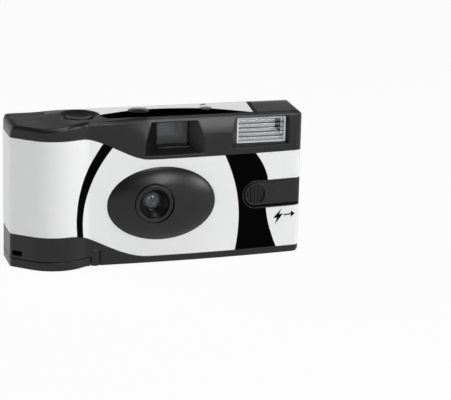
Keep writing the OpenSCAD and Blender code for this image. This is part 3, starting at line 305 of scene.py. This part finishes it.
# Gives a flat piece its thickness, all faces outwards
def makeFilm(piece, thickMm, offset):
    film = piece.modifiers.new("film", "SOLIDIFY")
    film.thickness = thickMm * mm
    film.offset = offset
    bpy.ops.object.modifier_apply(modifier=film.name)
    bpy.ops.object.mode_set(mode="EDIT")
    bpy.ops.mesh.select_all(action="SELECT")
    bpy.ops.mesh.normals_make_consistent(inside=False)
    bpy.ops.object.mode_set(mode="OBJECT")


# A block between the settings' x, y and z limits in mm
def boxPiece(name, settings):
    bpy.ops.object.select_all(action="DESELECT")
    low, high = (Vector([settings[k][i] * mm for k in "xyz"]) for i in (0, 1))
    middle = (low + high) / 2 - Vector((0, shiftY, 0))
    bpy.ops.mesh.primitive_cube_add(size=1, location=middle, scale=high - low)
    piece = bpy.context.object
    piece.name = name
    bpy.ops.object.transform_apply(location=True, rotation=True, scale=True)
    return piece


# Visible mouldings: a merged, smoothed copy of the solid, its hard edges eased by so many mm
mouldings = {
    "front_cover": {"body": "camera", "ease": 0.0, "angle": 30},
    "rear_cover": {"body": "camera", "ease": 0.0, "angle": 30},
    "film_door": {"body": "door", "ease": 0.0, "angle": 30},
    "shutter_button": {"body": "button", "ease": 0.2, "angle": 30},
    "flash_slider": {"body": "slider", "ease": 0.0, "angle": 30},
    "lens_ring": {"body": "camera", "ease": 0.1, "angle": 30},
    "advance_wheel": {"body": "wheel", "ease": 0.0, "angle": 20},
    "front_label": {"body": "camera", "ease": 0.0, "angle": 32},
    "top_label": {"body": "camera", "ease": 0.0, "angle": 32},
}
mouldingRule = {"mergeMm": 0.003, "flatDegrees": 0.3, "easeSteps": 3}


def easeMoulding(nodeName, settings):
    piece = bpy.data.objects.new(nodeName + "_moulding", frame["nodes"][nodeName].data.copy())
    bpy.context.scene.collection.objects.link(piece)
    bpy.ops.object.select_all(action="DESELECT")
    piece.select_set(True)
    bpy.context.view_layer.objects.active = piece
    bpy.ops.mesh.customdata_custom_splitnormals_clear()
    bpy.ops.object.mode_set(mode="EDIT")
    bpy.ops.mesh.select_all(action="SELECT")
    bpy.ops.mesh.remove_doubles(threshold=mouldingRule["mergeMm"] * mm)
    bpy.ops.mesh.dissolve_limited(angle_limit=math.radians(mouldingRule["flatDegrees"]))
    bpy.ops.object.mode_set(mode="OBJECT")
    if settings["ease"]:
        soft = piece.modifiers.new("ease", "BEVEL")
        soft.width = settings["ease"] * mm
        soft.segments = mouldingRule["easeSteps"]
        soft.limit_method = "ANGLE"
        soft.angle_limit = math.radians(settings["angle"])
        soft.use_clamp_overlap = False
        bpy.ops.object.modifier_apply(modifier=soft.name)
    smoothAt(settings["angle"])
    flow = piece.modifiers.new("flow", "WEIGHTED_NORMAL")
    flow.keep_sharp = True
    bpy.ops.object.modifier_apply(modifier=flow.name)
    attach(piece, settings["body"])
    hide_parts(nodeName)


for nodeName, settings in mouldings.items():
    easeMoulding(nodeName, settings)
print("mouldings eased:", len(mouldings))

# Common signs printed on the labels, outlines in mm as (x, height) on the front and (x, depth) on the top
signs = {
    "bolt_sign": {"face": "front", "outline": [
        (50.35, 18.2), (46.9, 14.5), (48.7, 14.7), (47.7, 11.9), (51.2, 16.2), (49.5, 16.0)]},
    "arrow_shaft": {"face": "front", "outline": [(51.5, 15.35), (54.9, 15.5), (54.9, 16.0), (51.5, 15.85)]},
    "arrow_head": {"face": "front", "outline": [(54.5, 14.45), (56.2, 15.8), (54.5, 17.1)]},
    "lamp_sign": {"face": "top", "outline": [
        (22.9, 20.7), (19.9, 19.2), (21.3, 19.2), (19.7, 17.9), (23.1, 19.5), (21.6, 19.5)]},
}
signRule = {"inkMm": 0.03, "cuts": 5}
# The label under them: a slow sweep from one x on, a rounded end, and its height on top
frontSweep = {"from": -5.0, "radius": 560.0, "endX": 55.5, "endR": 3.0, "proud": 0.06, "top": 58.06}


def labelFront(x):
    swept = max(0.0, min(x, frontSweep["endX"]) - frontSweep["from"]) ** 2 / (2 * frontSweep["radius"])
    over = max(0.0, x - frontSweep["endX"])
    return swept + frontSweep["endR"] - math.sqrt(frontSweep["endR"] ** 2 - over ** 2) - frontSweep["proud"]


def printSign(name, settings):
    inkMm = signRule["inkMm"]
    bpy.ops.object.select_all(action="DESELECT")
    bpy.ops.mesh.primitive_circle_add(vertices=len(settings["outline"]), radius=mm, fill_type="NGON")
    sign = bpy.context.object
    sign.name = name
    for vertex, (across, along) in zip(sign.data.vertices, settings["outline"]):
        vertex.co = (across * mm, along * mm, 0)
    bpy.ops.object.mode_set(mode="EDIT")
    bpy.ops.mesh.select_all(action="SELECT")
    bpy.ops.mesh.quads_convert_to_tris()
    bpy.ops.mesh.subdivide(number_cuts=signRule["cuts"])
    bpy.ops.object.mode_set(mode="OBJECT")
    for vertex in sign.data.vertices:
        x, along = vertex.co.x, vertex.co.y
        if settings["face"] == "front":
            vertex.co = (x, (labelFront(x / mm) - inkMm) * mm - shiftY, along)
        else:
            vertex.co = (x, along - shiftY, (frontSweep["top"] + inkMm) * mm)
    makeFilm(sign, 2 * inkMm, 0)
    sign.data.materials.append(finishes["sign_ink"])
    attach(sign, "camera")


for name, settings in signs.items():
    printSign(name, settings)
print("signs printed:", len(signs))


# A turned form about an axis along the depth: its profile is drawn as one line and spun
def turnForm(name, settings):
    centre = (settings["centre"][0] * mm, 0, settings["centre"][1] * mm)
    points = [(centre[0] + r * mm, depth * mm - shiftY, centre[2]) for r, depth in settings["profile"]]
    bpy.ops.object.select_all(action="DESELECT")
    bpy.ops.mesh.primitive_plane_add(size=mm, location=points[0])
    piece = bpy.context.object
    piece.name = name
    bpy.ops.object.transform_apply(location=True, rotation=True, scale=True)
    bpy.ops.object.mode_set(mode="EDIT")
    bpy.ops.mesh.merge(type="CENTER")
    for start, end in zip(points, points[1:]):
        bpy.ops.mesh.extrude_region_move(
            TRANSFORM_OT_translate={"value": [b - a for a, b in zip(start, end)]})
    bpy.ops.mesh.select_all(action="SELECT")
    bpy.ops.mesh.spin(steps=settings["sides"], angle=2 * math.pi, center=centre, axis=(0, 1, 0))
    bpy.ops.mesh.select_all(action="SELECT")
    bpy.ops.mesh.remove_doubles(threshold=settings["mergeMm"] * mm)
    bpy.ops.mesh.normals_make_consistent(inside=False)
    bpy.ops.object.mode_set(mode="OBJECT")
    smoothAt(settings["smooth"])
    return piece


# Taking lens: a hollow-backed dome with a flange, the profile as (radius, depth) in mm
lensForm = {"centre": (-3.1, 25.0), "sides": 96, "smooth": 35, "mergeMm": 0.002,
            "domeR": 3.7, "domeSag": 1.5, "domeFront": -0.6, "rings": 16,
            "profile": [(0, 1.5), (1.2, 1.57), (2.2, 1.75), (3.0, 2.0), (3.4, 2.2), (4.5, 2.2), (4.5, 0.9)]}
for k in range(lensForm["rings"], -1, -1):
    share = k / lensForm["rings"]
    lensForm["profile"].append(
        (lensForm["domeR"] * share, lensForm["domeSag"] * share ** 2 + lensForm["domeFront"]))
lens = turnForm("taking_lens_dome", lensForm)
lens.data.materials.append(finishes["lens_plastic"])
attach(lens, "camera")
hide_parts("taking_lens")
print("lens turned")

# Flash cover: a rimmed pane with half-round ribs across it, in mm; the foot is a share of a rib and gets painted
# shade, and the painted shade of the tube end lies between two x, above a line from its left to its right low end
flashPane = {"x": (31.8, 51.6), "y": (4.7, 6.4), "z": (45.6, 55.8), "rim": 0.6, "sink": 0.9, "ribs": 5,
             "cuts": 49, "rise": 0.8, "foot": 0.1, "smooth": 50,
             "shadeX": (47.1, 49.4), "shadeLow": (51.4, 49.3), "shadeTop": 55.0}
rimSlot, ribSlot, footShadeSlot, shadeSlot = range(4)
frontFacing = -0.9  # a normal's y below this looks to the front
edgeMargin = 1e-6  # in metres
pane = boxPiece("flash_pane", flashPane)
for key in ("flash_rim", "flash_cover", "flash_groove", "flash_shade"):
    pane.data.materials.append(finishes[key])
bpy.ops.object.mode_set(mode="EDIT")
bpy.ops.mesh.select_all(action="DESELECT")
bpy.ops.object.mode_set(mode="OBJECT")
for face in pane.data.polygons:
    face.select = face.normal.y < frontFacing
bpy.ops.object.mode_set(mode="EDIT")
bpy.ops.mesh.inset(thickness=flashPane["rim"] * mm)
bpy.ops.mesh.extrude_region_move(TRANSFORM_OT_translate={"value": (0, flashPane["sink"] * mm, 0)})
pane.active_material_index = ribSlot
bpy.ops.object.material_slot_assign()
bpy.ops.mesh.subdivide(number_cuts=flashPane["cuts"])
bpy.ops.object.mode_set(mode="OBJECT")
inside = [vertex for vertex in pane.data.vertices if vertex.select]
bottom, top = min(v.co.z for v in inside), max(v.co.z for v in inside)


# 0 to 1 up each rib
def upRib(z):
    return (z - bottom) / (top - bottom) * flashPane["ribs"] % 1


for vertex in inside:
    if bottom + edgeMargin < vertex.co.z < top - edgeMargin:
        swell = math.sqrt(max(0.0, 1 - (2 * upRib(vertex.co.z) - 1) ** 2))
        vertex.co.y -= flashPane["rise"] * mm * swell
(shadeLeft, shadeRight), (lowLeft, lowRight) = flashPane["shadeX"], flashPane["shadeLow"]
# Painted shade on the ribbed faces: the tube end's patch, else the feet of the ribs
for face in pane.data.polygons:
    if face.material_index != ribSlot:
        continue
    along = (face.center.x / mm - shadeLeft) / (shadeRight - shadeLeft)
    lowest = lowLeft + (lowRight - lowLeft) * along
    if 0 < along < 1 and lowest < face.center.z / mm < flashPane["shadeTop"]:
        face.material_index = shadeSlot
    # the feet of the ribs get painted shade, for the shade in the grooves
    elif abs(upRib(face.center.z) - 0.5) > 0.5 - flashPane["foot"]:
        face.material_index = footShadeSlot
smoothAt(flashPane["smooth"])
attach(pane, "camera")
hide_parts("flash_window")
print("flash cover ribbed")

# Small ledge that holds the finder's front window, in mm
ledgeBar = {"x": (-0.6, 12.6), "y": (4.5, 5.3), "z": (44.8, 45.55), "round": 0.22, "steps": 3, "smooth": 40}
ledge = boxPiece("finder_ledge", ledgeBar)
bpy.ops.object.mode_set(mode="EDIT")
bpy.ops.mesh.select_all(action="SELECT")
bpy.ops.mesh.bevel(offset=ledgeBar["round"] * mm, segments=ledgeBar["steps"], affect="EDGES")
bpy.ops.object.mode_set(mode="OBJECT")
smoothAt(ledgeBar["smooth"])
ledge.data.materials.append(finishes["black_shell"])
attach(ledge, "camera")

# The front label's tail, stuck round the left end of the rear cover: plan of the end and heights in mm
tailStrip = {"x": -58.5, "from": 16.95, "bendAt": 20.0, "bendR": 6.0, "bend": 50, "z": (13.6, 51.9),
             "proud": 0.055, "filmMm": 0.1, "straightCuts": 4, "bendCuts": 14, "smooth": 30}
straight = tailStrip["bendAt"] - tailStrip["from"]
bends = [(tailStrip["x"], tailStrip["from"] + straight * k / tailStrip["straightCuts"], (-1, 0))
         for k in range(tailStrip["straightCuts"])]
for k in range(tailStrip["bendCuts"] + 1):
    angle = math.radians(tailStrip["bend"] * k / tailStrip["bendCuts"])
    out = (-math.cos(angle), math.sin(angle))
    bends.append((tailStrip["x"] + tailStrip["bendR"] * (1 + out[0]),
                  tailStrip["bendAt"] + tailStrip["bendR"] * out[1], out))
bpy.ops.object.select_all(action="DESELECT")
bpy.ops.mesh.primitive_grid_add(x_subdivisions=len(bends) - 1, y_subdivisions=1, size=1)
tail = bpy.context.object
tail.name = "label_tail"
for vertex in tail.data.vertices:
    x, y, out = bends[round((vertex.co.x + 0.5) * (len(bends) - 1))]
    z = tailStrip["z"][0] if vertex.co.y < 0 else tailStrip["z"][1]
    x, y = (x + out[0] * tailStrip["proud"]) * mm, (y + out[1] * tailStrip["proud"]) * mm
    vertex.co = (x, y - shiftY, z * mm)
makeFilm(tail, tailStrip["filmMm"], 1)
smoothAt(tailStrip["smooth"])
tail.data.materials.append(finishes["printed_label"])
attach(tail, "camera")
print("ledge and label tail added")

# Camera at the photograph's angle, lengths in mm
viewOf = {"turn": -15.52, "rise": 16.81, "roll": 1.41, "away": 935.8, "right": 25.44, "up": -2.47,
          "aim": (0, 0, 28), "focalPx": 2394.0, "widthPx": 451, "sensor": 36.0, "near": 10.0}
turn, rise, roll = (math.radians(viewOf[k]) for k in ("turn", "rise", "roll"))
back = Vector((math.sin(turn) * math.cos(rise), -math.cos(turn) * math.cos(rise), math.sin(rise)))
level = Vector((math.cos(turn), math.sin(turn), 0))
upright = back.cross(level)
across = level * math.cos(roll) + upright * math.sin(roll)
upward = -level * math.sin(roll) + upright * math.cos(roll)
spot = Vector(viewOf["aim"]) + back * viewOf["away"] + across * viewOf["right"] + upward * viewOf["up"]
spot = spot * mm - Vector((0, shiftY, 0))
camera = bpy.data.objects.new("photo_camera", bpy.data.cameras.new("photo_camera"))
bpy.context.scene.collection.objects.link(camera)
camera.data.sensor_fit = "HORIZONTAL"
camera.data.sensor_width = viewOf["sensor"]
camera.data.lens = viewOf["focalPx"] / viewOf["widthPx"] * viewOf["sensor"]
camera.data.clip_start = viewOf["near"] * mm
camera.matrix_world = Matrix((
    (across.x, upward.x, back.x, spot.x), (across.y, upward.y, back.y, spot.y),
    (across.z, upward.z, back.z, spot.z), (0, 0, 0, 1)))
bpy.context.scene.camera = camera

# Soft boxes: place and side in metres, and power
softBoxes = {
    "key": {"at": (1.43, -0.93, 0.66), "size": 0.6, "watts": 12.0},
    "glint": {"at": (1.19, -1.26, 0.5), "size": 0.14, "watts": 1.0},
    "front": {"at": (0.43, -1.5, 0.97), "size": 0.5, "watts": 10.5},
    "top": {"at": (0.1, -0.2, 1.7), "size": 0.6, "watts": 10.5},
    "left": {"at": (-1.5, 0.6, 0.35), "size": 1.3, "watts": 16.0},
}
lampAim = Vector((0, 0, 0.03))
for name, box in softBoxes.items():
    lamp = bpy.data.objects.new(name, bpy.data.lights.new(name, "AREA"))
    bpy.context.scene.collection.objects.link(lamp)
    lamp.data.size = box["size"]
    lamp.data.energy = box["watts"]
    lamp.location = box["at"]
    lamp.rotation_euler = (lampAim - lamp.location).to_track_quat("-Z", "Y").to_euler()

# Surroundings: white near the floor and darker above where they are seen, and a dimmer even glow as light
skyOf = {"white": 0.1, "dark": 0.25, "whiteGlow": 1.0, "darkGlow": 0.15, "lightGlow": 0.1}
world = bpy.data.worlds.new("studio")
bpy.context.scene.world = world
world.use_nodes = True
tree = world.node_tree
ways = addNode(tree, "ShaderNodeTexCoord").outputs["Generated"]
height = addNode(tree, "ShaderNodeSeparateXYZ", links={"Vector": ways}).outputs["Z"]
shade = addNode(tree, "ShaderNodeMapRange", {
    "From Min": skyOf["white"], "From Max": skyOf["dark"],
    "To Min": skyOf["whiteGlow"], "To Max": skyOf["darkGlow"]}, {"Value": height})
glow = addNode(tree, "ShaderNodeMapRange", {"To Min": skyOf["lightGlow"]},
               {"Value": seenRays(tree), "To Max": shade.outputs["Result"]})
sky = tree.nodes["Background"]
sky.inputs["Color"].default_value = hexColour("#ffffff")
tree.links.new(glow.outputs["Result"], sky.inputs["Strength"])

# Floor of matt white paper: lifted to the background's white where it is seen, with a faint soft shadow
floorOf = {"size": 6, "colour": "#f2f2f2", "rough": 0.9, "lift": 0.9}
bpy.ops.object.select_all(action="DESELECT")
bpy.ops.mesh.primitive_plane_add(size=floorOf["size"], location=(0, 0, 0))
floor = bpy.context.object
floor.name = "floor"
finish, tree, shader, place = startFinish("Paper sweep matt white")
shader.inputs["Base Color"].default_value = hexColour(floorOf["colour"])
shader.inputs["Roughness"].default_value = floorOf["rough"]
shader.inputs["Specular IOR Level"].default_value = 0.0
lift = addNode(tree, "ShaderNodeEmission", {"Color": hexColour("#ffffff"), "Strength": 1.0})
lifted = addNode(tree, "ShaderNodeMath", {1: floorOf["lift"]}, {0: seenRays(tree)}, operation="MULTIPLY")
blend = addNode(tree, "ShaderNodeMixShader", None, {
    "Fac": lifted.outputs["Value"], 1: shader.outputs["BSDF"], 2: lift.outputs["Emission"]})
tree.links.new(blend.outputs["Shader"], tree.nodes["Material Output"].inputs["Surface"])
floor.data.materials.append(finish)
bpy.context.scene.view_settings.view_transform = "Standard"
print("camera, lamps and floor set")
